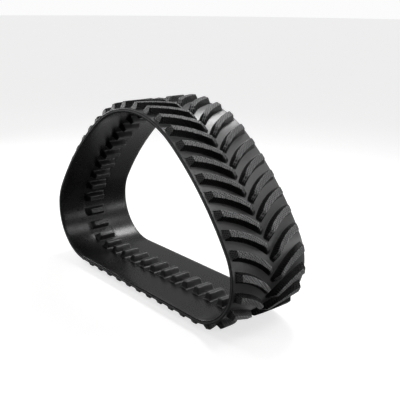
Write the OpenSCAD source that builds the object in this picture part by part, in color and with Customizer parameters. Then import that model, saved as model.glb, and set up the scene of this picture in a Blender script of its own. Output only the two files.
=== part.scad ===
// Endless rubber track for a four-track farm tractor, standing on its ground run.
// Millimetres. X runs along the track, Y across the belt, Z up. The tread rests on Z = 0,
// and the middle of the belt is Y = 0. Left is +Y and right is -Y, looking along +X.
// The loop is one straight ground run and five arcs that meet tangentially: front corner,
// front bow, apex, rear bow and rear corner. Every layer, lug and bar is placed on it by
// its distance along the cable line and its offset outwards from the inner face.

/* [Loop] */
// Straight length on the ground, between the two corner arcs
ground_run = 1625.65; // [1355:0.05:1955]
// Inner radius where the belt wraps the front and rear idler wheels
corner_r = 400; // [330:1:480]
// Inner radius over the drive wheel at the top
apex_r = 855; // [710:1:1030]
// Height of the apex arc's centre above the inner face of the ground run
apex_z = 625; // [520:1:750]
// Inner radius of the bowed front and rear runs
bow_r = 2560; // [2130:1:3080]

/* [Belt] */
// Width of the belt
belt_w = 762; // [630:1:920]
// Rubber cover that the rollers run on, down to the cable line
inner_cover_t = 11; // [8:0.5:14]
// Rubber over the outer half of the cables
cushion_t = 5; // [4:0.5:8]
// Thickness of each angled ply
bias_ply_t = 2.5; // [1.5:0.1:4]
// Thickness of the crosswise ply
cross_ply_t = 2; // [1.2:0.1:4]
// Solid rubber under the tread bars
undertread_t = 11; // [8:0.5:16]
// Width of the rubber strip that closes each edge of the belt
edge_strip_w = 16; // [10:1:24]
// Clearance beside a lug's end in the shallow channel where the lugs stand
lug_channel_gap = 22; // [10:1:40]
// Depth of that channel, which leaves a roller path raised on each side
lug_channel_t = 1; // [0.5:0.1:2]

/* [Main cables] */
// Number of steel cable turns side by side
cable_count = 30; // [12:2:36]
// Diameter of a cable
cable_d = 6; // [4:0.5:8]
// Distance from the belt edge to the first cable
cable_margin = 42; // [30:1:60]

/* [Drive lugs] */
// Number of drive lugs, which is also the number of tread bars on each side
lug_count = 42; // [36:1:44]
// Height of a lug above the inner face
lug_h = 60; // [40:1:75]
// Width of a lug across the belt, at its foot
lug_w = 190; // [120:1:230]
// Length of a lug along the belt, at its foot
lug_l = 76; // [55:1:90]
// Slope of the lug's front and rear flanks, as run over the whole height
lug_flank = 15; // [5:1:20]
// Slope of the lug's two ends, as run over the whole height
lug_end_slope = 17; // [5:1:30]
// Chamfer along the lug's crest
lug_crest = 9; // [4:0.5:12]

/* [Tread bars] */
// Height of a tread bar above the undertread
bar_h = 55; // [35:1:70]
// Length of a bar's section along the belt
bar_w = 57; // [40:1:70]
// Distance from the middle of the belt to a left bar's inner end, on the bar's own line
bar_inner_left = 44; // [20:1:70]
// The same for a right bar, which reaches further in between the left bars
bar_inner_right = 22; // [20:1:70]
// Gap between a bar's outer end and the belt edge
bar_outer = 40; // [15:1:60]
// Radius of the bar's sweep, seen from above
bar_sweep_r = 680; // [600:1:820]
// Distance from the belt edge outwards to the centre of that sweep
bar_sweep_out = 114; // [80:1:140]
// How far the left bars lead the right bars, as a share of the lug spacing
bar_stagger = 0.43; // [0.3:0.01:0.6]

/* [Hidden] */
$fn = 240;
bar_ref = 200;         // distance from the middle of the belt where a bar is placed

cable_off = inner_cover_t;
cushion_top = inner_cover_t + cushion_t;
bias_in_top = cushion_top + bias_ply_t;
cross_top = bias_in_top + cross_ply_t;
bias_out_top = cross_top + bias_ply_t;
belt_t = bias_out_top + undertread_t;
carcass_w = belt_w - 2 * edge_strip_w;
lug_channel_w = lug_w + 2 * lug_channel_gap;

base_z = bar_h + belt_t;                    // inner face of the ground run
rear_c = [-ground_run / 2, base_z + corner_r];
front_c = [ground_run / 2, base_z + corner_r];
apex_c = [0, base_z + apex_z];

// Centre of the front bow: it touches the corner arc and the apex arc from inside.
function bow_centre() =
    let (v = apex_c - front_c, d = norm(v), u = v / d)
    let (p = bow_r - corner_r, q = bow_r - apex_r)
    let (a = (p * p - q * q + d * d) / (2 * d))
    front_c + a * u + sqrt(p * p - a * a) * [-u[1], u[0]];

bow_front_c = bow_centre();
bow_rear_c = [-bow_front_c[0], bow_front_c[1]];
function bearing(from, to) = atan2(to[1] - from[1], to[0] - from[0]);
low_a = bearing(bow_front_c, front_c);      // where the corner arc becomes the bow
high_a = bearing(bow_front_c, apex_c);      // where the bow becomes the apex arc

// Each arc: centre, inner radius, start angle, end angle, in the order of travel.
arcs = [
    [front_c, corner_r, -90, low_a],
    [bow_front_c, bow_r, low_a, high_a],
    [apex_c, apex_r, high_a, 180 - high_a],
    [bow_rear_c, bow_r, 180 - high_a, 180 - low_a],
    [rear_c, corner_r, 180 - low_a, 270],
];

function arc_len(i) = (arcs[i][1] + cable_off) * (arcs[i][3] - arcs[i][2]) * PI / 180;
function sum_to(n) = n < 0 ? 0 : arc_len(n) + sum_to(n - 1);
loop_len = ground_run + sum_to(4);
pitch = loop_len / lug_count;               // 152.4 mm, which is six inches, as drawn

function on_circle(c, r, a) = [c[0] + r * cos(a), c[1] + r * sin(a)];

// Place at distance s along the cable line from the rear end of the ground run:
// the point of the inner face, and the bearing of the outward normal.
function place(s) = s < 0 ? place(s + loop_len)
    : s > loop_len ? place(s - loop_len)
    : s <= ground_run ? [rear_c[0] + s, base_z, -90]
    : arc_place(s - ground_run, 0);
function arc_place(s, i) = (i < 4 && s > arc_len(i))
    ? arc_place(s - arc_len(i), i + 1)
    : let (a = arcs[i][2] + s / (arcs[i][1] + cable_off) * 180 / PI)
      concat(on_circle(arcs[i][0], arcs[i][1], a), [a]);

// Puts children on the loop: their X points outwards, Y across and Z along the travel.
module on_loop(s) {
    p = place(s);
    translate([p[0], 0, p[1]]) rotate([0, -p[2], 0]) children();
}

// Moves by p in three steps, so that an export with six digits keeps millionths of a millimetre
// and neighbouring arcs really touch.
module place_fine(p) {
    whole = [round(p[0]), round(p[1])];
    part = [for (v = p - whole) round(v * 1000) / 1000];
    translate(whole) translate(part) translate(p - whole - part) children();
}

// Seam number k is the line across the belt where arc k begins, or where the last arc ends.
// This is its point at a distance out from the inner face.
function seam(k, out) = let (g = arcs[min(k, 4)]) on_circle(g[0], g[1] + out, k < 5 ? g[2] : g[3]);
seam_in = -200;
seam_out = 150;

// The region inside the loop's side view at an offset outwards from the inner face: the core,
// the ground run, and a slice of a full circle between two seams for each arc.
module loop_region(off) {
    polygon([for (k = [0 : 5]) seam(k, seam_in)]);
    polygon([seam(5, seam_in), seam(5, off), seam(0, off), seam(0, seam_in)]);
    for (k = [0 : 4]) {
        mid = (arcs[k][2] + arcs[k][3]) / 2;
        far = arcs[k][1] * [cos(mid), sin(mid)];
        intersection() {
            place_fine(arcs[k][0]) circle(arcs[k][1] + off);
            polygon([
                seam(k, seam_in), seam(k, seam_out), seam(k, seam_out) + far,
                seam(k + 1, seam_out) + far, seam(k + 1, seam_out), seam(k + 1, seam_in),
            ]);
        }
    }
}

// A layer of the belt between two offsets, from y0 to y1 across.
module layer(off0, off1, y0, y1) {
    translate([0, y1, 0]) rotate([90, 0, 0]) linear_extrude(y1 - y0) difference() {
        loop_region(off1);
        loop_region(off0);
    }
}

// One endless turn of cable at y across the belt. Its section is square, for a sound cut.
module cable_turn(y) {
    layer(cable_off - cable_d / 2, cable_off + cable_d / 2, y - cable_d / 2, y + cable_d / 2);
}

module cable_turns() {
    first = belt_w / 2 - cable_margin;
    step = 2 * first / (cable_count - 1);
    for (i = [0 : cable_count - 1]) cable_turn(-first + i * step);
}

module inner_cover() color("dimgray") difference() {
    layer(0, inner_cover_t, -belt_w / 2, belt_w / 2);
    layer(-1, lug_channel_t, -lug_channel_w / 2, lug_channel_w / 2);
    cable_turns();
}
module main_cables() color("silver") cable_turns();
module cable_cushion() color("darkslategray") difference() {
    layer(inner_cover_t, cushion_top, -carcass_w / 2, carcass_w / 2);
    cable_turns();
}
module bias_ply_inner() color("goldenrod") layer(cushion_top, bias_in_top, -carcass_w / 2, carcass_w / 2);
module cross_ply() color("peru") layer(bias_in_top, cross_top, -carcass_w / 2, carcass_w / 2);
module bias_ply_outer() color("goldenrod") layer(cross_top, bias_out_top, -carcass_w / 2, carcass_w / 2);
module undertread() color("dimgray") layer(bias_out_top, belt_t, -belt_w / 2, belt_w / 2);
module edge_strip_left() color("gray") layer(inner_cover_t, bias_out_top, carcass_w / 2, belt_w / 2);
module edge_strip_right() color("gray") layer(inner_cover_t, bias_out_top, -belt_w / 2, -carcass_w / 2);

// Drive lug: flanks sloped along the belt, ends sloped across it, and a chamfered crest.
// Its foot is cut to the channel's floor, so it seats on the flat run and on every arc.
lug_foot = 30;         // how far the uncut lug reaches into the belt
function lug_outline(length, slope) =
    let (f = length / 2, t = f - slope, k = slope / lug_h)
    [
        [lug_foot, -f - k * lug_foot], [-lug_h + lug_crest, -t - k * lug_crest],
        [-lug_h, -t + lug_crest], [-lug_h, t - lug_crest],
        [-lug_h + lug_crest, t + k * lug_crest], [lug_foot, f + k * lug_foot],
    ];
module drive_lug(i) color("dimgray") intersection() {
    reach = lug_w / 2 + lug_foot;
    translate([0, reach, 0]) rotate([90, 0, 0]) linear_extrude(2 * reach) loop_region(lug_channel_t);
    on_loop((i + 0.5) * pitch) intersection() {
        translate([0, reach, 0]) rotate([90, 0, 0]) linear_extrude(2 * reach) polygon(lug_outline(lug_l, lug_flank));
        translate([0, 0, -lug_l]) linear_extrude(2 * lug_l) polygon(lug_outline(lug_w, lug_end_slope));
    }
}

// Tread bar seen from above, as distance out from the middle of the belt and along it.
// Both long sides are the same arc, set half a bar's length each way. The inner end is
// cut square to that arc, so its trailing corner lies nearer the middle.
sweep_x = belt_w / 2 + bar_sweep_out;
function sweep_at(x) = sqrt(pow(bar_sweep_r, 2) - pow(sweep_x - x, 2));
function bar_mid(x) = sweep_at(x) - sweep_at(bar_ref);
module bar_plan(bar_inner) {
    outer = belt_w / 2 - bar_outer;
    steps = 10;
    slope = (sweep_x - bar_inner) / sweep_at(bar_inner);
    square = slope * bar_w / 2 / (1 + slope * slope);
    function at(i, start) = start + (outer - start) * i / steps;
    leading = [for (i = [0 : steps]) at(i, bar_inner + square)];
    trailing = [for (i = [steps : -1 : 0]) at(i, bar_inner - square)];
    polygon(concat(
        [for (x = leading) [x, bar_mid(x) - bar_w / 2]],
        [for (x = trailing) [x, bar_mid(x) + bar_w / 2]]
    ));
}

// Bar number i on one side (-1 right, 1 left), between the undertread and the ground.
module tread_bar(i, side) {
    s = (i + (side > 0 ? bar_stagger : 0)) * pitch;
    y0 = side > 0 ? 0 : -belt_w / 2;
    intersection() {
        layer(belt_t, belt_t + bar_h, y0, y0 + belt_w / 2);
        on_loop(s) mirror([0, side < 0 ? 1 : 0, 0]) rotate([90, 0, 90])
            linear_extrude(belt_t + bar_h + 1) bar_plan(side > 0 ? bar_inner_left : bar_inner_right);
    }
}
module tread_bars(side, from, to) color("black") for (i = [from : to]) tread_bar(i, side);

// The bars of each side are grouped by the stretch of the loop that they stand on.
STRETCHES = ["ground", "front", "top", "rear"];
function stretch_start(j) = j == 0 ? 0 : floor(lug_count * j / 4 + 0.5);
function stretch_end(j) = j == 3 ? lug_count - 1 : stretch_start(j + 1) - 1;

function lug_name(i) = str("drive_lug_", i < 9 ? "0" : "", i + 1);
function bars_name(side, j) = str("tread_bars_", side > 0 ? "left_" : "right_", STRETCHES[j]);

inner_cover();
main_cables();
cable_cushion();
bias_ply_inner();
cross_ply();
bias_ply_outer();
undertread();
edge_strip_left();
edge_strip_right();
for (i = [0 : lug_count - 1])
    drive_lug(i);
for (side = [-1, 1]) for (j = [0 : 3])
    tread_bars(side, stretch_start(j), stretch_end(j));
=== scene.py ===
"""Rubber track for a tractor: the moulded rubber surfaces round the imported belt.

New surfaces are worked out in belt coordinates: s is the distance along the cable line from the
rear end of the ground run, y is the place across the belt, and out is the distance outwards from
the inner face (negative towards the wheels). Metres throughout.
"""

import math

import bpy
import numpy as np
from mathutils import Matrix, Vector


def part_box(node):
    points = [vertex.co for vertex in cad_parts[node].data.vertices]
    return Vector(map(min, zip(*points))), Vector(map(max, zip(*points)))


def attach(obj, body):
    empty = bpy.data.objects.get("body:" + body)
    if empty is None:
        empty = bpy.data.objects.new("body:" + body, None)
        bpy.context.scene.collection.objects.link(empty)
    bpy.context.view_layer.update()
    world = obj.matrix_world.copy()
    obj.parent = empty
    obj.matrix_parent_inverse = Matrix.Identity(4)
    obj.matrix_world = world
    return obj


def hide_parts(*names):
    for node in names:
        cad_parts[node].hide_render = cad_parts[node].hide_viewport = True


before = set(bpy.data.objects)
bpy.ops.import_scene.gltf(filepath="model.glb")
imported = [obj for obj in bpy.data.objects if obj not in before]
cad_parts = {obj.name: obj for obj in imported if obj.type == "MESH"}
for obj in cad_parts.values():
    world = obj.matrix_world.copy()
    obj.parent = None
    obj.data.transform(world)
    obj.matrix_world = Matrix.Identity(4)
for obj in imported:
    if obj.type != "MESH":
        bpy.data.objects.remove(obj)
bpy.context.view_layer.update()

# ---------------------------------------------------------------- sizes

GROUND_RUN = 1.62565    # straight length on the ground
CORNER_R = 0.400        # inner radius at the front and rear corners
APEX_R = 0.855          # inner radius at the top
APEX_Z = 0.625          # apex arc's centre above the inner face of the ground run
BOW_R = 2.560           # inner radius of the bowed front and rear runs
LUGS = 42               # drive lugs, and tread bars on each side
BAR_LEAD = 0.43         # how far the left bars lead the right bars, in lug spacings
LUG_L, LUG_W = 0.076, 0.190     # a drive lug's foot, along and across the belt

SIDES = ((1, "left"), (-1, "right"))     # the sign of y and the word for it

cover_box, tread_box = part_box("inner_cover"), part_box("undertread")
strip_box, bar_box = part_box("edge_strip_left"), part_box("tread_bars_left_ground")
BASE_Z = (cover_box[0].z + cover_box[1].z - APEX_Z - APEX_R) / 2     # inner face, ground run
COVER_T = BASE_Z - cover_box[0].z           # also where the cable line lies
BELT_T = BASE_Z - tread_box[0].z            # inner face to the ground between the bars
STRIP_IN, STRIP_OUT = strip_box[0].y, BASE_Z - strip_box[0].z       # an edge strip's hidden faces
HALF_W = cover_box[1].y
BAR_H = tread_box[0].z
BAR_OUTER = bar_box[1].y
LUG_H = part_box("drive_lug_05")[1].z - BASE_Z


# ---------------------------------------------------------------- the loop

def loop_arcs():
    """Centres, inner radii and bearings of the five arcs after the ground run.

    The front bow touches the corner and apex arcs from inside. So its centre is where circles of
    radius bow - corner and bow - apex, drawn round those two centres, cross. The rear mirrors it.
    """
    corner, apex = np.array([GROUND_RUN / 2, BASE_Z + CORNER_R]), np.array([0.0, BASE_Z + APEX_Z])
    gap = np.hypot(*(apex - corner))
    along = (apex - corner) / gap
    p, q = BOW_R - CORNER_R, BOW_R - APEX_R
    a = (p * p - q * q + gap * gap) / (2 * gap)
    bow = corner + a * along + math.sqrt(p * p - a * a) * np.array([-along[1], along[0]])
    low, high = (math.atan2(end[1] - bow[1], end[0] - bow[0]) for end in (corner, apex))
    mirror = np.array([-1, 1])
    centres = np.array([corner, bow, apex, bow * mirror, corner * mirror])
    radii = np.array([CORNER_R, BOW_R, APEX_R, BOW_R, CORNER_R])
    bearings = np.array([-math.pi / 2, low, high, math.pi - high, math.pi - low, math.pi * 1.5])
    return centres, radii, bearings


CENTRES, RADII, BEARINGS = loop_arcs()
ARC_STARTS = GROUND_RUN + np.concatenate([[0], np.cumsum((RADII + COVER_T) * np.diff(BEARINGS))])
LOOP = ARC_STARTS[-1]
PITCH = LOOP / LUGS


def place(s):
    """Inner-face x and z, bearing of the outward normal, and curvature at s.

    On the ground run the bearing is straight down and the curvature is zero. On an arc the bearing
    grows by distance over the cable line's radius, and the point is centre + radius at the bearing.
    """
    s = np.mod(s, LOOP)
    k = np.clip(np.searchsorted(ARC_STARTS, s, side="right") - 1, 0, 4)
    flat = s < GROUND_RUN
    bearing = np.where(flat, -math.pi / 2, BEARINGS[k] + (s - ARC_STARTS[k]) / (RADII[k] + COVER_T))
    x = np.where(flat, s - GROUND_RUN / 2, CENTRES[k, 0] + RADII[k] * np.cos(bearing))
    z = np.where(flat, BASE_Z, CENTRES[k, 1] + RADII[k] * np.sin(bearing))
    return x, z, bearing, np.where(flat, 0.0, 1 / RADII[k])


def wrap(s, y, out):
    """Belt coordinates to space: the inner-face point plus out along the outward normal."""
    x, z, bearing, _ = place(s)
    return np.stack([x + out * np.cos(bearing), y + 0 * x, z + out * np.sin(bearing)], -1)


ROOT_BLEND = 0.020      # height over which a block leaves the belt's surface for its own curve


def stand(s, along, y, out, root):
    """Points of a moulded block that stands on the belt at s, reaching along it by true length.

    At its root the block follows the belt's own surface. From ROOT_BLEND up it keeps the curvature
    it has at s: a point turns by along / (radius + out) about that arc's centre.
    """
    x, z, bearing, curve = place(s)
    foot = wrap(s + along * (1 + curve * COVER_T) / (1 + curve * root), y, out)
    turn = along * curve / (1 + curve * out)
    bent = np.abs(curve) > 0
    reach = 1 / np.where(bent, curve, 1) + out
    side = np.where(bent, np.sin(turn) * reach, along)
    rise = np.where(bent, out - (1 - np.cos(turn)) * reach, out)
    body = np.stack([
        x + rise * np.cos(bearing) - side * np.sin(bearing),
        y + 0 * x,
        z + rise * np.sin(bearing) + side * np.cos(bearing),
    ], -1)
    share = np.clip(np.abs(out - root) / ROOT_BLEND, 0, 1)[..., None] + 0 * body
    return foot * (1 - share) + body * share


# ---------------------------------------------------------------- meshes

SHARP_ANGLE = math.radians(32)
STATIONS = LUGS * 12    # sections of the belt round the loop
ROUND_STEPS = 5         # points on a quarter circle


def grid_quads(rows, cols, close_rows=False):
    """Quads between neighbouring rows and columns of a grid. Columns always close on themselves."""
    i, j = np.meshgrid(np.arange(rows if close_rows else rows - 1), np.arange(cols), indexing="ij")
    here, below, right = i * cols, (i + 1) % rows * cols, (j + 1) % cols
    return np.stack([here + j, below + j, below + right, here + right], -1).reshape(-1, 4)


def cap_quads(start, count, flip):
    """Quads that close a ring of count points: point j is joined across it to count - 1 - j."""
    j = np.arange(count // 2 - 1)
    quads = np.stack([j, j + 1, count - 2 - j, count - 1 - j], -1) + start
    return quads[:, ::-1] if flip else quads


def rubber_mesh(name, points, quads, wear_and_highlight, skin=None, finish=None):
    """A smooth mesh from arrays, sharp past SHARP_ANGLE, with its faces turned outwards.

    Six times its signed volume is the sum of a . (b x c) + a . (c x d) over quads a, b, c, d, and
    a negative sum means that they face inwards. The per-point mask runs from 0 to 1 at scuffed
    edges, and on the crowns of bars and lugs it also lays a painted highlight; skin is a flat
    layout of the surface in metres, and finish is each face's place in the piece's materials.
    """
    a, b, c, d = (points[quads[:, k]] for k in range(4))
    volume = (a * np.cross(b, c)).sum() + (a * np.cross(c, d)).sum()
    if volume < 0:
        quads = quads[:, ::-1]
    mesh = bpy.data.meshes.new(name)
    mesh.from_pydata(points.tolist(), [], quads.tolist())
    mesh.polygons.foreach_set("use_smooth", np.ones(len(quads), bool))
    mesh.set_sharp_from_angle(angle=SHARP_ANGLE)
    if skin is not None:
        layer = mesh.uv_layers.new(name="skin")
        layer.data.foreach_set("uv", skin[quads.ravel()].ravel())
    mesh.attributes.new("wear_and_highlight", "FLOAT", "POINT").data.foreach_set("value", wear_and_highlight)
    if finish is not None:
        mesh.polygons.foreach_set("material_index", finish)
    mesh.update()
    return mesh


def add_piece(name, mesh, finishes, nodes):
    """A new piece in place of its CAD nodes, riding on the one body."""
    piece = bpy.data.objects.new(name, mesh)
    bpy.context.scene.collection.objects.link(piece)
    for finish in finishes:
        mesh.materials.append(finish)
    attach(piece, "root")
    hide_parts(*nodes)
    return piece


def endless_mesh(name, profile, wear_and_highlight):
    """A closed section, given as y and out, carried once round the loop at even steps of s."""
    s = np.arange(STATIONS)[:, None] * LOOP / STATIONS
    y, out = profile.T
    points = wrap(s + 0 * y, y + 0 * s, out + 0 * s).reshape(-1, 3)
    return rubber_mesh(name, points, grid_quads(STATIONS, len(y), True), np.tile(wear_and_highlight, STATIONS))


def quarter(centre, radius, start):
    """Points of a quarter circle from the start bearing, turning anticlockwise, as y and out."""
    a = start + np.linspace(0, math.pi / 2, ROUND_STEPS)
    return np.stack([centre[0] + radius * np.cos(a), centre[1] + radius * np.sin(a)], -1)


# ---------------------------------------------------------------- material effects

def group_with(name, inputs, outputs):
    """An empty shader node group with its sockets, and its input and output nodes."""
    group = bpy.data.node_groups.new(name, "ShaderNodeTree")
    for label, kind, value in inputs:
        socket = group.interface.new_socket(label, in_out="INPUT", socket_type=kind)
        socket.default_value = value
    for label, kind in outputs:
        group.interface.new_socket(label, in_out="OUTPUT", socket_type=kind)
    return group, group.nodes.new("NodeGroupInput"), group.nodes.new("NodeGroupOutput")


def add_node(tree, kind, links=(), **values):
    """A node with its properties set, and (input, socket) links or (input, value) constants."""
    node = tree.nodes.new(kind)
    for key, value in values.items():
        setattr(node, key, value)
    for key, source in links:
        if isinstance(source, bpy.types.NodeSocket):
            tree.links.new(source, node.inputs[key])
        else:
            node.inputs[key].default_value = source
    return node


def use_group(tree, group, links=()):
    """One of the shared effects, placed in a material with its own values."""
    return add_node(tree, "ShaderNodeGroup", links, node_tree=group)


FLOAT, COLOUR, VECTOR = "NodeSocketFloat", "NodeSocketColor", "NodeSocketVector"


def make_rubber_bloom():
    """Cured rubber's cloudy tone: broad noise mixes two blacks and two degrees of gloss, and
    scuffed edges turn lighter and smoother, more where the noise is high. On the crowns of the bars
    and lugs the same lighter colour is a painted highlight as well as scuffing."""
    tree, given, out = group_with(
        "rubber_bloom",
        [("Fresh", COLOUR, (0.02, 0.02, 0.02, 1)), ("Bloomed", COLOUR, (0.04, 0.04, 0.04, 1)),
         ("Rubbed And Highlight", COLOUR, (0.07, 0.07, 0.07, 1)), ("Cloud Size", FLOAT, 3.0),
         ("Gloss", FLOAT, 0.4), ("Matt", FLOAT, 0.55), ("Wear And Highlight", FLOAT, 0.0)],
        [("Color", COLOUR), ("Roughness", FLOAT)])
    coords = add_node(tree, "ShaderNodeTexCoord")
    cloud = add_node(tree, "ShaderNodeTexNoise", [
        ("Vector", coords.outputs["Object"]), ("Scale", given.outputs["Cloud Size"]),
        ("Detail", 4.0)])
    speck = add_node(tree, "ShaderNodeTexNoise", [
        ("Vector", coords.outputs["Object"]), ("Scale", 90.0), ("Detail", 2.0)])
    blend = add_node(tree, "ShaderNodeMath", [
        (0, cloud.outputs["Fac"]), (1, speck.outputs["Fac"])], operation="ADD")
    span = add_node(tree, "ShaderNodeMapRange", [
        ("Value", blend.outputs[0]), ("From Min", 0.75), ("From Max", 1.25)])
    tone = add_node(tree, "ShaderNodeMix", [
        (0, span.outputs[0]), (6, given.outputs["Fresh"]), (7, given.outputs["Bloomed"])],
        data_type="RGBA")
    rub_and_highlight = add_node(tree, "ShaderNodeMath", [
        (0, given.outputs["Wear And Highlight"]), (1, span.outputs[0])], operation="MULTIPLY")
    worn_and_highlit = add_node(tree, "ShaderNodeMix", [
        (0, rub_and_highlight.outputs[0]), (6, tone.outputs[2]), (7, given.outputs["Rubbed And Highlight"])],
        data_type="RGBA")
    sheen = add_node(tree, "ShaderNodeMapRange", [
        ("Value", span.outputs[0]), ("To Min", given.outputs["Gloss"]),
        ("To Max", given.outputs["Matt"])])
    polish = add_node(tree, "ShaderNodeMath", [
        (0, rub_and_highlight.outputs[0]), (1, -0.12), (2, sheen.outputs[0])], operation="MULTIPLY_ADD")
    tree.links.new(worn_and_highlit.outputs[2], out.inputs["Color"])
    tree.links.new(polish.outputs[0], out.inputs["Roughness"])
    return tree


def make_mould_grain():
    """Fine pitting left by the mould, as a height: small noise plus a share of broad flow marks."""
    tree, given, out = group_with(
        "mould_grain", [("Grain Size", FLOAT, 600.0), ("Flow Share", FLOAT, 0.4)],
        [("Height", FLOAT)])
    coords = add_node(tree, "ShaderNodeTexCoord")
    grain = add_node(tree, "ShaderNodeTexNoise", [
        ("Vector", coords.outputs["Object"]), ("Scale", given.outputs["Grain Size"]),
        ("Detail", 3.0)])
    flow = add_node(tree, "ShaderNodeTexNoise", [
        ("Vector", coords.outputs["Object"]), ("Scale", 22.0), ("Detail", 2.0)])
    both = add_node(tree, "ShaderNodeMath", [
        (0, flow.outputs["Fac"]), (1, given.outputs["Flow Share"]), (2, grain.outputs["Fac"])],
        operation="MULTIPLY_ADD")
    tree.links.new(both.outputs[0], out.inputs["Height"])
    return tree


def make_knurl():
    """Fine crossed ribs on the skin layout, as a height and as a mask for painted shade in their
    grooves: the higher of the sines of u + v and u - v, each of which rises once in every Spacing
    along u or v."""
    tree, given, out = group_with(
        "knurl", [("Spacing", FLOAT, 0.024)], [("Height", FLOAT), ("Knurl Shade Mask", FLOAT)])
    layout = add_node(tree, "ShaderNodeUVMap", uv_map="skin")
    axes = add_node(tree, "ShaderNodeSeparateXYZ", [(0, layout.outputs[0])])
    turns = add_node(tree, "ShaderNodeMath", [
        (0, 2 * math.pi), (1, given.outputs["Spacing"])], operation="DIVIDE")
    waves = []
    for sign in (1.0, -1.0):
        mixed = add_node(tree, "ShaderNodeMath", [
            (0, axes.outputs[0]), (1, sign), (2, axes.outputs[1])], operation="MULTIPLY_ADD")
        phase = add_node(tree, "ShaderNodeMath", [
            (0, mixed.outputs[0]), (1, turns.outputs[0])], operation="MULTIPLY")
        wave = add_node(tree, "ShaderNodeMath", [(0, phase.outputs[0])], operation="SINE")
        waves.append(wave.outputs[0])
    ribs = add_node(tree, "ShaderNodeMath", [(0, waves[0]), (1, waves[1])], operation="MAXIMUM")
    hollows = add_node(tree, "ShaderNodeMapRange", [
        ("Value", ribs.outputs[0]), ("From Min", 0.95), ("From Max", -0.1)])
    tree.links.new(ribs.outputs[0], out.inputs["Height"])
    tree.links.new(hollows.outputs[0], out.inputs["Knurl Shade Mask"])
    return tree


def make_cord_bands():
    """Cords laid side by side: the sine of 20 * Scale * y, after y is turned by Turn, is their
    height and carries their colour from painted shade between the cords to a painted highlight on
    their crowns."""
    tree, given, out = group_with(
        "cord_bands",
        [("Turn", VECTOR, (0, 0, 0)), ("Scale", FLOAT, 16.0), ("Waviness", FLOAT, 0.0),
         ("Hollow And Shade", COLOUR, (0.03, 0.02, 0.02, 1)), ("Crown And Highlight", COLOUR, (0.2, 0.15, 0.1, 1)),
         ("Hollow Roughness", FLOAT, 0.7), ("Crown Roughness", FLOAT, 0.5)],
        [("Color", COLOUR), ("Roughness", FLOAT), ("Height", FLOAT)])
    coords = add_node(tree, "ShaderNodeTexCoord")
    turned = add_node(tree, "ShaderNodeMapping", [
        ("Vector", coords.outputs["Object"]), ("Rotation", given.outputs["Turn"])])
    cords = add_node(tree, "ShaderNodeTexWave", [
        ("Vector", turned.outputs[0]), ("Scale", given.outputs["Scale"]),
        ("Distortion", given.outputs["Waviness"])], wave_type="BANDS", bands_direction="Y")
    tone = add_node(tree, "ShaderNodeMix", [
        (0, cords.outputs["Fac"]), (6, given.outputs["Hollow And Shade"]), (7, given.outputs["Crown And Highlight"])],
        data_type="RGBA")
    rough = add_node(tree, "ShaderNodeMapRange", [
        ("Value", cords.outputs["Fac"]), ("To Min", given.outputs["Hollow Roughness"]),
        ("To Max", given.outputs["Crown Roughness"])])
    tree.links.new(tone.outputs[2], out.inputs["Color"])
    tree.links.new(rough.outputs[0], out.inputs["Roughness"])
    tree.links.new(cords.outputs["Fac"], out.inputs["Height"])
    return tree


BLOOM, GRAIN = make_rubber_bloom(), make_mould_grain()
KNURL, CORDS = make_knurl(), make_cord_bands()


# ---------------------------------------------------------------- finishes

def new_finish(name):
    """A material with nodes, its tree and its shader."""
    material = bpy.data.materials.new(name)
    material.use_nodes = True
    return material, material.node_tree, material.node_tree.nodes["Principled BSDF"]


def grey(value):
    """A grey with a trace more blue, as carbon-black rubber has."""
    return (value, value, value * 1.02, 1)


def rubber(name, fresh, bloomed, gloss, matt, *, grain=0.25, knurl=0.0, rubbed_and_highlight=0.08, specular=0.5):
    """Cured rubber: bloom colours and gloss, mould grain, and knurled ribs where asked for. The
    pale scuffed colour is also a painted highlight on crowns, and the knurl's grooves get painted
    shade.
    """
    material, tree, shader = new_finish(name)
    shader.inputs["Specular IOR Level"].default_value = specular
    wear_and_highlight = add_node(tree, "ShaderNodeAttribute", attribute_name="wear_and_highlight")
    bloom = use_group(tree, BLOOM, [
        ("Fresh", grey(fresh)), ("Bloomed", grey(bloomed)), ("Rubbed And Highlight", grey(rubbed_and_highlight)),
        ("Gloss", gloss), ("Matt", matt), ("Wear And Highlight", wear_and_highlight.outputs["Fac"])])
    pits = use_group(tree, GRAIN)
    fine = add_node(tree, "ShaderNodeBump", [
        ("Height", pits.outputs["Height"]), ("Strength", grain), ("Distance", 0.0006)])
    normal, colour = fine.outputs[0], bloom.outputs["Color"]
    if knurl:
        ribs = use_group(tree, KNURL)
        raised = add_node(tree, "ShaderNodeBump", [
            ("Height", ribs.outputs["Height"]), ("Strength", knurl), ("Distance", 0.0026),
            ("Normal", normal)])
        # Painted shade: the knurl's grooves darken towards a tenth of the fresh colour.
        shade = add_node(tree, "ShaderNodeMath", [
            (0, ribs.outputs["Knurl Shade Mask"]), (1, 0.85)], operation="MULTIPLY")
        knurl_shade_mix = add_node(tree, "ShaderNodeMix", [
            (0, shade.outputs[0]), (6, colour), (7, grey(fresh * 0.10))], data_type="RGBA")
        normal, colour = raised.outputs[0], knurl_shade_mix.outputs[2]
    tree.links.new(colour, shader.inputs["Base Color"])
    tree.links.new(bloom.outputs["Roughness"], shader.inputs["Roughness"])
    tree.links.new(normal, shader.inputs["Normal"])
    return material


COVER_RUBBER = rubber("cover_rubber", 0.008, 0.014, 0.24, 0.32, grain=0.10, specular=0.32)
EDGE_RUBBER = rubber("edge_rubber", 0.110, 0.150, 0.38, 0.50, grain=0.15)
TREAD_RUBBER = rubber("tread_rubber", 0.030, 0.044, 0.34, 0.44)
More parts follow.
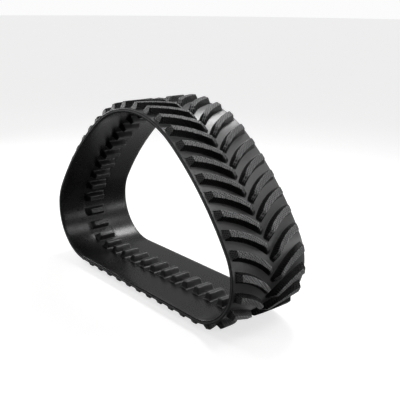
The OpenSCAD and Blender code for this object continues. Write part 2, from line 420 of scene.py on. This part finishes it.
# The bars' rubber comes in a lit and a shaded copy: the pale top finish paints light on the tops
# and ends, the near-black wall finish paints shade on the walls.
BAR_LIT_RUBBER = rubber("bar_painted_light_rubber", 0.085, 0.120, 0.38, 0.50, knurl=1.0, rubbed_and_highlight=0.24)
BAR_SHADED_RUBBER = rubber("bar_painted_shade_rubber", 0.004, 0.008, 0.45, 0.60,
                         knurl=0.6, rubbed_and_highlight=0.05, specular=0.25)
LUG_RUBBER = rubber("lug_rubber", 0.008, 0.015, 0.34, 0.46, specular=0.4)
CUSHION_RUBBER = rubber("cushion_rubber", 0.050, 0.070, 0.55, 0.70)


def corded(name, bands, lift, deep, metallic=0.0):
    """Cords or strands under a bump of the given strength and depth."""
    material, tree, shader = new_finish(name)
    shader.inputs["Metallic"].default_value = metallic
    cords = use_group(tree, CORDS, bands)
    height = add_node(tree, "ShaderNodeBump", [
        ("Height", cords.outputs["Height"]), ("Strength", lift), ("Distance", deep)])
    tree.links.new(cords.outputs["Color"], shader.inputs["Base Color"])
    tree.links.new(cords.outputs["Roughness"], shader.inputs["Roughness"])
    tree.links.new(height.outputs[0], shader.inputs["Normal"])
    return material


def cord_ply(name, angle, warm_and_highlight):
    """Rubber-coated cords, turned by angle about Z: brown coating with painted shade between the
    cords, and crowns in cord colour with a painted highlight.
    """
    bands = [("Turn", (0, 0, angle)), ("Scale", 50 / 3), ("Waviness", 0.2),
             ("Hollow And Shade", (0.03, 0.022, 0.015, 1)), ("Crown And Highlight", warm_and_highlight)]
    return corded(name, bands, 0.6, 0.0008)


def cable_steel():
    """Brass-coated steel cable: strands as slanted bands, with painted shade between them and a
    painted highlight on their crowns.
    """
    bands = [("Turn", (0.5, 0.6, 0.9 + math.pi / 2)), ("Scale", 24.0),
             ("Hollow And Shade", (0.18, 0.15, 0.10, 1)), ("Crown And Highlight", (0.62, 0.55, 0.40, 1)),
             ("Crown Roughness", 0.28), ("Hollow Roughness", 0.5)]
    return corded("cable_steel", bands, 0.5, 0.0005, metallic=1.0)


# ---------------------------------------------------------------- belt rubber

CHANNEL_HALF = LUG_W / 2 + 0.022    # half width of the shallow channel that the lugs stand in
CHANNEL_DEEP = 0.001
CHANNEL_RAMP = 0.003                # how far the channel's side reaches from its middle
PATH_START = CHANNEL_HALF + 0.020   # the flat running face's first point
CABLE_SEAT = COVER_T - 0.0033       # where the cables bear on the cover
STRIP_STEP = (STRIP_IN + 0.002, STRIP_IN - 0.004)   # the step from the strip down to that seat
EDGE_ROUND = 0.005
BULGE = 0.0006          # how far the flat of the edge sits inside its widest line
GROOVE_HALF, GROOVE_DEEP = 0.0013, 0.0016           # the mould's parting groove
COVER_SIDE, STRIP_SIDES, TREAD_SIDE = 0.008, (0.0135, 0.0205), 0.026    # points on the bulged edge
EDGE_WEAR = 0.8


def side_y(out):
    """Half width of the belt at out: widest at mid thickness, falling off as the square."""
    return HALF_W - BULGE * ((np.asarray(out) - BELT_T / 2) / (BELT_T / 2)) ** 2


def make_inner_cover():
    """Section: the lug channel and its ramps, the flat running face, a quarter round at each edge,
    and the seat of the cables."""
    y_edge = side_y(EDGE_ROUND)
    y_round = y_edge - EDGE_ROUND
    floor = np.linspace(0, CHANNEL_HALF - CHANNEL_RAMP, 6)
    ramp = CHANNEL_HALF + CHANNEL_RAMP * np.array([-0.4, 0.4, 1.0])
    path = np.linspace(PATH_START, y_round, 9)[:-1]
    face = np.stack([np.concatenate([floor, ramp, path]),
                     CHANNEL_DEEP * np.concatenate([0 * floor + 1, [0.9, 0.1, 0.0], 0 * path])], -1)
    half = np.concatenate([quarter((y_round, EDGE_ROUND), EDGE_ROUND, -math.pi / 2), [
        [side_y(COVER_SIDE), COVER_SIDE], [side_y(COVER_T), COVER_T],
        [STRIP_STEP[0], COVER_T], [STRIP_STEP[1], CABLE_SEAT]]])
    mirror = [-1, 1]
    profile = np.concatenate([face[:0:-1] * mirror, face, half, half[::-1] * mirror])
    wear_and_highlight = np.zeros(len(profile))
    right_round = 2 * len(face) - 1
    wear_and_highlight[right_round:right_round + ROUND_STEPS] = EDGE_WEAR
    wear_and_highlight[-ROUND_STEPS:] = EDGE_WEAR
    return endless_mesh("inner_cover_rubber", profile, wear_and_highlight)


def make_undertread():
    """Section: the ground between the bars, a quarter round at each edge, and the ply side."""
    y_round = side_y(BELT_T - EDGE_ROUND) - EDGE_ROUND
    face = np.linspace(y_round, -y_round, 25)[1:-1]
    half = np.concatenate([
        [[side_y(STRIP_OUT), STRIP_OUT], [side_y(TREAD_SIDE), TREAD_SIDE]],
        quarter((y_round, BELT_T - EDGE_ROUND), EDGE_ROUND, 0.0)])
    profile = np.concatenate([half, np.stack([face, 0 * face + BELT_T], -1), half[::-1] * [-1, 1]])
    wear_and_highlight = np.zeros(len(profile))
    wear_and_highlight[2:2 + ROUND_STEPS] = EDGE_WEAR
    wear_and_highlight[-2 - ROUND_STEPS:-2] = EDGE_WEAR
    return endless_mesh("undertread_rubber", profile, wear_and_highlight)


def make_edge_strip(side):
    """Section: the strip's outer face with the mould's parting groove at mid thickness."""
    groove = BELT_T / 2 + GROOVE_HALF * np.array([-2.2, -1, -0.4, 0.4, 1, 2.2])
    outs = np.concatenate([[COVER_T, STRIP_SIDES[0]], groove, [STRIP_SIDES[1], STRIP_OUT]])
    depth = GROOVE_DEEP * np.array([0, 0, 0, 0.25, 1, 1, 0.25, 0, 0, 0])
    profile = np.concatenate([np.stack([side_y(outs) - depth, outs], -1),
                              [[STRIP_IN, STRIP_OUT], [STRIP_IN, COVER_T]]]) * [side, 1]
    wear_and_highlight = np.array([0, 0, 0.6, 0.3, 0, 0, 0.3, 0.6, 0, 0, 0, 0])
    return endless_mesh("edge_strip_rubber", profile, wear_and_highlight)


add_piece("inner_cover_rubber", make_inner_cover(), [COVER_RUBBER], ["inner_cover"])
add_piece("undertread_rubber", make_undertread(), [TREAD_RUBBER], ["undertread"])
for side, word in SIDES:
    add_piece(f"edge_strip_{word}_rubber", make_edge_strip(side), [EDGE_RUBBER],
              [f"edge_strip_{word}"])


# ---------------------------------------------------------------- blocks: shared ring stack

FOOT_BURIED = 0.004     # how far a block's foot goes into the belt
WALL_RINGS = np.array([0.35, 0.7])      # rings on the wall, as shares of the height
CAP_INSETS = np.array([0.0015, 0.006])  # how far inside the crown the two rings of the cap lie


def ring_stack(height, fillet, crown, dish=0.0):
    """Heights, wall shares and rounding of a block's rings from its buried foot to its cap.

    The wall share runs from 1 at the foot to 0 at the top, and is multiplied by each side's own
    draft. The rounding is added on every side: a quarter-circle fillet at the foot (outwards) and
    a quarter-circle crown at the top (inwards).
    """
    a = np.linspace(0, math.pi / 2, ROUND_STEPS)
    foot_h, foot_r = fillet * (1 - np.cos(a)), fillet * (1 - np.sin(a))
    crown_h, crown_r = height - crown * (1 - np.sin(a)), -crown * (1 - np.cos(a))
    cap_h = height - dish * np.array([0.3, 1])
    h = np.concatenate([[-FOOT_BURIED], foot_h, height * WALL_RINGS, crown_h, cap_h])
    rounding = np.concatenate([[fillet], foot_r, 0 * WALL_RINGS, crown_r, -crown - CAP_INSETS])
    share = np.clip(1 - h / height, 0, 1)
    # The crown rings carry most of the edge mask: real scuffing, and a painted highlight along the
    # rounded top edge.
    wear_and_highlight = np.concatenate([[0], 0 * foot_h, [0, 0], [0.1, 0.7, 1, 1, 0.7], [0.15, 0.1]])
    return h, share, rounding, wear_and_highlight


def block_quads(rings, count):
    """A stack of rings joined side to side and closed at its foot and its top."""
    return np.concatenate([grid_quads(rings, count), cap_quads(0, count, True),
                           cap_quads((rings - 1) * count, count, False)])


def many_blocks(quads, points, copies):
    """The same block's quads repeated for each copy's own points."""
    shift = np.arange(copies)[:, None, None] * points
    return (quads[None] + shift).reshape(-1, 4)


LONGEST_ROUND = 0.45    # the share of a neighbouring side that a rounded corner may take


def round_corner(before, corner, after, reach, steps=3):
    """A corner of an outline as a parabola that leaves each side at reach from the corner."""
    def towards(point):
        """The point at reach along the side that leads to a neighbour."""
        step = point - corner
        length = np.maximum(np.linalg.norm(step, axis=-1, keepdims=True), 1e-9)
        return corner + step * np.minimum(reach / length, LONGEST_ROUND)
    a, b = towards(before), towards(after)
    t = np.linspace(0, 1, steps)[:, None, None]
    return (1 - t) ** 2 * a + 2 * t * (1 - t) * corner + t * t * b


# ---------------------------------------------------------------- tread bars

SWEEP_R = 0.680                         # radius of a bar's sweep, seen from above
SWEEP_Y = HALF_W + 0.114                # how far out the sweep's centre lies
BAR_REF = 0.200                         # distance from the middle where a bar is placed
BAR_INNER = {1: 0.044, -1: 0.022}       # inner ends, on a bar's own line, by the sign of y
BAR_HALF_TOP = 0.0265                   # half a bar's length along the belt, at its top
BAR_TOP_OUT = BAR_OUTER - 0.011         # a bar's outer end, at its top
BAR_DRAFT, BAR_DRAFT_OUT, BAR_DRAFT_IN = 0.0135, 0.025, 0.052   # growth from top to foot
BAR_INNER_SLOPE = ([0, 0.65, 1], [0, 0.80, 1])  # the inner end's draft by the wall share
BAR_FILLET, BAR_CROWN = 0.006, 0.003
BAR_INNER_ROUND, BAR_FOOT_ROUND = 0.006, 0.010  # inner corners' reach at the top, and its growth
BAR_OUTER_ROUND = 0.005
BAR_SIDE_POINTS = 14
BAR_MID_GAP = 0.1       # the middle points of an end, as a share of its width from its middle

# Faces of a bar by row, counted up from the foot, and by place round its outline. The first
# finish is the pale copy of the bar rubber with painted light, the second the near-black copy
# with painted shade.
LIT, SHADED, GROUND = 0, 1, 2             # places in the bars' list of finishes
FOOT_ROWS, INNER_STEEP_ROWS, WALL_ROWS = 2, 6, 8
BOTH_ENDS = [0, 20, 21, 22, 42, 43]     # the flats of the two ends
INNER_END = [0, 1, 2, 40, 41, 42, 43]   # the inner end's flat and its rounded corners


def sweep_height(y):
    """Height at y of the circle that a bar's centreline follows."""
    return np.sqrt(SWEEP_R**2 - (SWEEP_Y - y) ** 2)


def sweep(y):
    """A bar's centreline along the belt at y across: the circle's height, less that at BAR_REF."""
    return sweep_height(y) - sweep_height(BAR_REF)


def bar_outline(half, y_in, y_out, reach):
    """Plan of a bar at every ring, as y across and distance along, shape (ring, point, 2).

    Both long sides are the centreline shifted by half a bar each way. The inner end is square to
    the centreline at y_in, whose slope m moves its corners by m * half / (1 + m * m) across.
    """
    slope = (SWEEP_Y - y_in) / sweep_height(y_in)
    square = slope * half / (1 + slope * slope)
    y_lead, y_trail = y_in + square, y_in - square
    in_lead = np.stack([y_lead, sweep(y_lead) - half], -1)
    out_lead = np.stack([y_out, sweep(y_out) - half], -1)
    out_trail = np.stack([y_out, sweep(y_out) + half], -1)
    in_trail = np.stack([y_trail, sweep(y_trail) + half], -1)

    def long_side(y0, y1, shift):
        """Evenly spaced points between two corners, on the centreline plus shift."""
        y = y0 + (y1 - y0) * np.linspace(0, 1, BAR_SIDE_POINTS + 2)[1:-1, None]
        return np.stack([y, sweep(y) + shift], -1)

    lead, trail = long_side(y_lead, y_out, -half), long_side(y_out, y_trail, half)
    mid_in, inner = (in_trail + in_lead) / 2, (in_lead - in_trail) * BAR_MID_GAP
    mid_out, outer = (out_lead + out_trail) / 2, (out_lead - out_trail) * BAR_MID_GAP
    parts = [
        [mid_in + inner], round_corner(in_trail, in_lead, lead[0], reach),
        lead, round_corner(lead[-1], out_lead, out_trail, BAR_OUTER_ROUND), [mid_out + outer],
        [mid_out - outer], round_corner(out_lead, out_trail, trail[0], BAR_OUTER_ROUND), trail,
        round_corner(trail[-1], in_trail, in_lead, reach), [mid_in - inner],
    ]
    return np.concatenate(parts).transpose(1, 0, 2)


def make_bars(name, side, numbers):
    """Bars of one side and stretch: rings of the outline, wider and longer towards the foot.

    The inner end slopes at about 45 degrees down to a third of the height, and is steep below.
    """
    h, share, rounding, wear_and_highlight = ring_stack(BAR_H, BAR_FILLET, BAR_CROWN)
    share_in = np.interp(share, *BAR_INNER_SLOPE)
    plan = bar_outline(
        BAR_HALF_TOP + BAR_DRAFT * share + rounding,
        BAR_INNER[side] + BAR_DRAFT_IN * (0.5 - share_in) - rounding,
        BAR_TOP_OUT + BAR_DRAFT_OUT * share + rounding,
        (BAR_INNER_ROUND + BAR_FOOT_ROUND * share)[:, None])
    y, along = plan[..., 0], plan[..., 1]
    rings, count = y.shape
    s = (np.array(numbers) + (BAR_LEAD if side > 0 else 0)) * PITCH
    copies = len(s)
    centre = s[:, None, None] + sweep(y)
    out = BELT_T + h[:, None] + 0 * centre
    points = stand(centre, along - sweep(y) + 0 * centre, side * y, out, BELT_T)

    # The skin is the top's outline, with each wall laid flat beside it.
    top = plan[-3]
    outwards = plan[1] - top
    outwards /= np.linalg.norm(outwards, axis=-1, keepdims=True)
    skin = top + outwards * (BAR_H - h)[:, None, None]
    skin[-2:] = plan[-2:]

    # The fillet's foot is ground rubber. The ends get the top's pale finish with painted light,
    # apart from the steep lower part of the inner end, which gets the near-black finish with
    # painted shade like the rest of the wall.
    by_place = np.full((rings - 1, count), LIT, np.int32)
    by_place[:WALL_ROWS] = SHADED
    by_place[:FOOT_ROWS] = GROUND
    by_place[FOOT_ROWS:WALL_ROWS, BOTH_ENDS] = LIT
    by_place[FOOT_ROWS:INNER_STEEP_ROWS, INNER_END] = SHADED
    quads = block_quads(rings, count)
    finish = np.full(len(quads), LIT, np.int32)
    finish[:by_place.size] = by_place.ravel()
    return rubber_mesh(
        name, points.reshape(-1, 3), many_blocks(quads, rings * count, copies),
        np.tile(np.repeat(wear_and_highlight, count), copies),
        skin=np.tile(skin.reshape(-1, 2), (copies, 1)), finish=np.tile(finish, copies))


STRETCHES = {"ground": (0, 11), "front": (11, 21), "top": (21, 32), "rear": (32, 42)}
for side, word in SIDES:
    for stretch, (first, end) in STRETCHES.items():
        name = f"tread_bars_{word}_{stretch}"
        add_piece(name + "_rubber", make_bars(name, side, range(first, end)),
                  [BAR_LIT_RUBBER, BAR_SHADED_RUBBER, TREAD_RUBBER], [name])


# ---------------------------------------------------------------- drive lugs

LUG_FLANK, LUG_END = 0.015, 0.017       # slope of the flanks and of the ends over the height
LUG_ROUND, LUG_ROUND_POINTS = 0.008, 4  # rounded corners of the lug's plan
LUG_FILLET, LUG_CROWN, LUG_DISH = 0.010, 0.0075, 0.0015
LUG_SIDE = np.linspace(-0.8, 0.8, 9)    # points on a long side, as shares of its half length
LUG_MID = 0.1                           # the same for the points next to the middle of an end


def make_lug(name, number):
    """Rings of a rounded rectangle that narrows upwards, with a filleted foot and rolled crest."""
    h, share, rounding, wear_and_highlight = ring_stack(LUG_H, LUG_FILLET, LUG_CROWN, LUG_DISH)
    half_l = LUG_L / 2 - LUG_FLANK * (1 - share) + rounding
    half_w = LUG_W / 2 - LUG_END * (1 - share) + rounding

    def points_at(across, lengthwise):
        """Points at shares of each ring's half width and half length."""
        return np.stack([across * half_w, lengthwise * half_l], -1)

    corners = [points_at(*signs) for signs in ((-1, -1), (1, -1), (1, 1), (-1, 1))]

    def rounded(k):
        """Corner k of each ring, rounded off."""
        before, after = corners[k - 1], corners[(k + 1) % 4]
        return round_corner(before, corners[k], after, LUG_ROUND, LUG_ROUND_POINTS)

    side = LUG_SIDE[:, None]
    plan = np.concatenate([
        [points_at(-1, -LUG_MID)], rounded(0), points_at(side, 0 * side - 1), rounded(1),
        [points_at(1, -LUG_MID)], [points_at(1, LUG_MID)], rounded(2),
        points_at(side, 0 * side + 1)[::-1], rounded(3), [points_at(-1, LUG_MID)],
    ]).transpose(1, 0, 2)
    y, along = plan[..., 0], plan[..., 1]
    rings, count = y.shape
    s = (number + 0.5) * PITCH + 0 * y
    points = stand(s, along, y, -h[:, None] + 0 * y, 0.0).reshape(-1, 3)
    return rubber_mesh(name, points, block_quads(rings, count), np.repeat(wear_and_highlight, count))


for number in range(LUGS):
    name = f"drive_lug_{number + 1:02d}"
    add_piece(name + "_rubber", make_lug(name, number), [LUG_RUBBER], [name])


# ---------------------------------------------------------------- layers inside the belt

def refinish(node, finish):
    """Gives a CAD node its own finish in place of the plain one."""
    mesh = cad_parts[node].data
    mesh.materials.clear()
    mesh.materials.append(finish)


# The cord colours below are the crowns' colours: cord colour with a painted highlight.
BIAS_ANGLE, BIAS_CORD_AND_HIGHLIGHT, CROSS_CORD_AND_HIGHLIGHT = 0.7, (0.20, 0.15, 0.09, 1), (0.16, 0.13, 0.09, 1)
refinish("cable_cushion", CUSHION_RUBBER)
refinish("main_cables", cable_steel())
refinish("bias_ply_inner", cord_ply("ply_cord_inner", BIAS_ANGLE, BIAS_CORD_AND_HIGHLIGHT))
refinish("cross_ply", cord_ply("ply_cord_cross", math.pi / 2, CROSS_CORD_AND_HIGHLIGHT))
refinish("bias_ply_outer", cord_ply("ply_cord_outer", -BIAS_ANGLE, BIAS_CORD_AND_HIGHLIGHT))


# ---------------------------------------------------------------- floor, light and camera

FLOOR_R, FLOOR_RINGS, FLOOR_SPOKES = 60, 24, 48
FLOOR_HOLE, FLOOR_DROP = 0.05, 0.0005   # innermost ring's radius, and depth under the bars


def make_floor():
    """A wide pale sheet at ground level: a disc of rings whose radius grows evenly."""
    r, a = np.meshgrid(np.linspace(FLOOR_HOLE, FLOOR_R, FLOOR_RINGS),
                       np.linspace(0, 2 * math.pi, FLOOR_SPOKES, endpoint=False), indexing="ij")
    points = np.stack([r * np.cos(a), r * np.sin(a), 0 * r - FLOOR_DROP], -1).reshape(-1, 3)
    quads = np.concatenate([
        grid_quads(FLOOR_RINGS, FLOOR_SPOKES), cap_quads(0, FLOOR_SPOKES, True)])
    mesh = bpy.data.meshes.new("studio_floor")
    mesh.from_pydata(points.tolist(), [], quads.tolist())
    material, tree, shader = new_finish("studio_floor")
    coords = add_node(tree, "ShaderNodeTexCoord")
    cloud = add_node(tree, "ShaderNodeTexNoise", [
        ("Vector", coords.outputs["Object"]), ("Scale", 0.4)])
    tone = add_node(tree, "ShaderNodeMix", [
        (0, cloud.outputs["Fac"]), (6, (0.50, 0.50, 0.50, 1)), (7, (0.54, 0.54, 0.54, 1))],
        data_type="RGBA")
    tree.links.new(tone.outputs[2], shader.inputs["Base Color"])
    shader.inputs["Roughness"].default_value = 0.9
    shader.inputs["Specular IOR Level"].default_value = 0.1
    shader.inputs["Emission Color"].default_value = (1, 1, 1, 1)
    shader.inputs["Emission Strength"].default_value = 0.68
    mesh.materials.append(material)
    floor = bpy.data.objects.new("studio_floor", mesh)
    floor.visible_diffuse = floor.visible_glossy = floor.visible_shadow = False
    bpy.context.scene.collection.objects.link(floor)


def soft_light(name, place_at, aim, size, power):
    """A rectangular lamp at a place, turned to look at its aim."""
    lamp = bpy.data.lights.new(name, "AREA")
    lamp.shape, lamp.size, lamp.size_y, lamp.energy = "RECTANGLE", size[0], size[1], power
    holder = bpy.data.objects.new(name, lamp)
    holder.location = place_at
    holder.rotation_euler = (Vector(aim) - Vector(place_at)).to_track_quat("-Z", "Y").to_euler()
    bpy.context.scene.collection.objects.link(holder)


CAMERA_AZIMUTH, CAMERA_ELEVATION, CAMERA_ROLL = (math.radians(v) for v in (-39.37, 17.31, 0.53))
CAMERA_TARGET, CAMERA_DISTANCE = Vector((0.2549, 0.0, 0.789)), 5.887
CAMERA_SENSOR, CAMERA_LENS = 36, 63.18      # millimetres
CAMERA_SHIFT = (0.03275, 0.0135)            # shares of the frame's width


def make_camera():
    """Looks at the target from its azimuth and elevation, turned by the roll about its own axis."""
    az, el, roll = CAMERA_AZIMUTH, CAMERA_ELEVATION, CAMERA_ROLL
    ahead = -Vector((math.cos(el) * math.cos(az), math.cos(el) * math.sin(az), math.sin(el)))
    right = ahead.cross(Vector((0, 0, 1))).normalized()
    up = right.cross(ahead)
    turned_right = math.cos(roll) * right + math.sin(roll) * up
    turned_up = math.cos(roll) * up - math.sin(roll) * right
    lens = bpy.data.cameras.new("studio_camera")
    lens.sensor_width, lens.lens, lens.clip_end = CAMERA_SENSOR, CAMERA_LENS, 200
    lens.shift_x, lens.shift_y = CAMERA_SHIFT
    camera = bpy.data.objects.new("studio_camera", lens)
    turn = Matrix((turned_right, turned_up, -ahead)).transposed().to_4x4()
    camera.matrix_world = Matrix.Translation(CAMERA_TARGET - ahead * CAMERA_DISTANCE) @ turn
    bpy.context.scene.collection.objects.link(camera)
    bpy.context.scene.camera = camera


AIR_AXIS = (-0.46, 0.82, 0.34)              # points back over the track
AIR_STOPS = ((0.25, 0.01), (0.42, 0.04), (0.56, 0.14), (0.68, 0.46), (0.80, 0.80), (0.92, 0.44),
             (1.0, 0.36))                   # brightness by place, from against the axis to along it


def make_studio_air():
    """Soft light from all round, by how far a direction lies along AIR_AXIS: bright behind, dark
    in front. The camera itself sees a white backdrop."""
    world = bpy.data.worlds.new("studio_air")
    world.use_nodes = True
    tree = world.node_tree
    lit = tree.nodes["Background"]
    direction = add_node(tree, "ShaderNodeTexCoord")
    share = add_node(tree, "ShaderNodeVectorMath", [
        (0, direction.outputs["Generated"]), (1, AIR_AXIS)], operation="DOT_PRODUCT")
    span = add_node(tree, "ShaderNodeMapRange", [
        ("Value", share.outputs["Value"]), ("From Min", -1.0), ("From Max", 1.0)])
    fade = add_node(tree, "ShaderNodeValToRGB", [(0, span.outputs[0])])
    ramp = fade.color_ramp.elements
    ramp[0].position, ramp[1].position = AIR_STOPS[0][0], AIR_STOPS[-1][0]
    for at, _ in AIR_STOPS[1:-1]:
        ramp.new(at)
    for stop, (_, value) in zip(ramp, AIR_STOPS):
        stop.color = (value, value, value, 1)
    tree.links.new(fade.outputs[0], lit.inputs["Color"])
    backdrop = add_node(tree, "ShaderNodeBackground", [("Color", (0.97, 0.97, 0.97, 1))])
    path = add_node(tree, "ShaderNodeLightPath")
    seen = add_node(tree, "ShaderNodeMixShader", [
        (0, path.outputs["Is Camera Ray"]), (1, lit.outputs[0]), (2, backdrop.outputs[0])])
    tree.links.new(seen.outputs[0], tree.nodes["World Output"].inputs["Surface"])
    bpy.context.scene.world = world


# Name, place, aim, width and height, watts.
SOFTBOXES = (
    ("key_softbox", (2.6, 2.2, 4.6), (0.3, 0, 0.8), (2.2, 1.8), 60),
    ("back_softbox", (-1.2, 3.4, 5.2), (0.2, 0, 1.3), (1.8, 1.2), 155),
    ("near_softbox", (-1.0, -4.6, 2.6), (0, 0, 0.7), (1.8, 1.8), 48),
    ("rear_softbox", (-5.4, -1.2, 2.6), (-0.3, 0, 0.7), (2.4, 1.8), 120),
    ("right_softbox", (1.6, 5.2, 0.4), (0.5, 0, 0.9), (2.4, 0.7), 70),
    ("front_softbox", (4.0, 3.6, 1.6), (0.0, 0, 0.6), (1.2, 1.2), 30),
    ("low_softbox", (5.0, 0.8, 1.0), (0.6, 0, 0.5), (1.5, 1.0), 25),
)

make_floor()
make_camera()
make_studio_air()
for softbox in SOFTBOXES:
    soft_light(*softbox)
bpy.context.scene.view_settings.view_transform = "Standard"
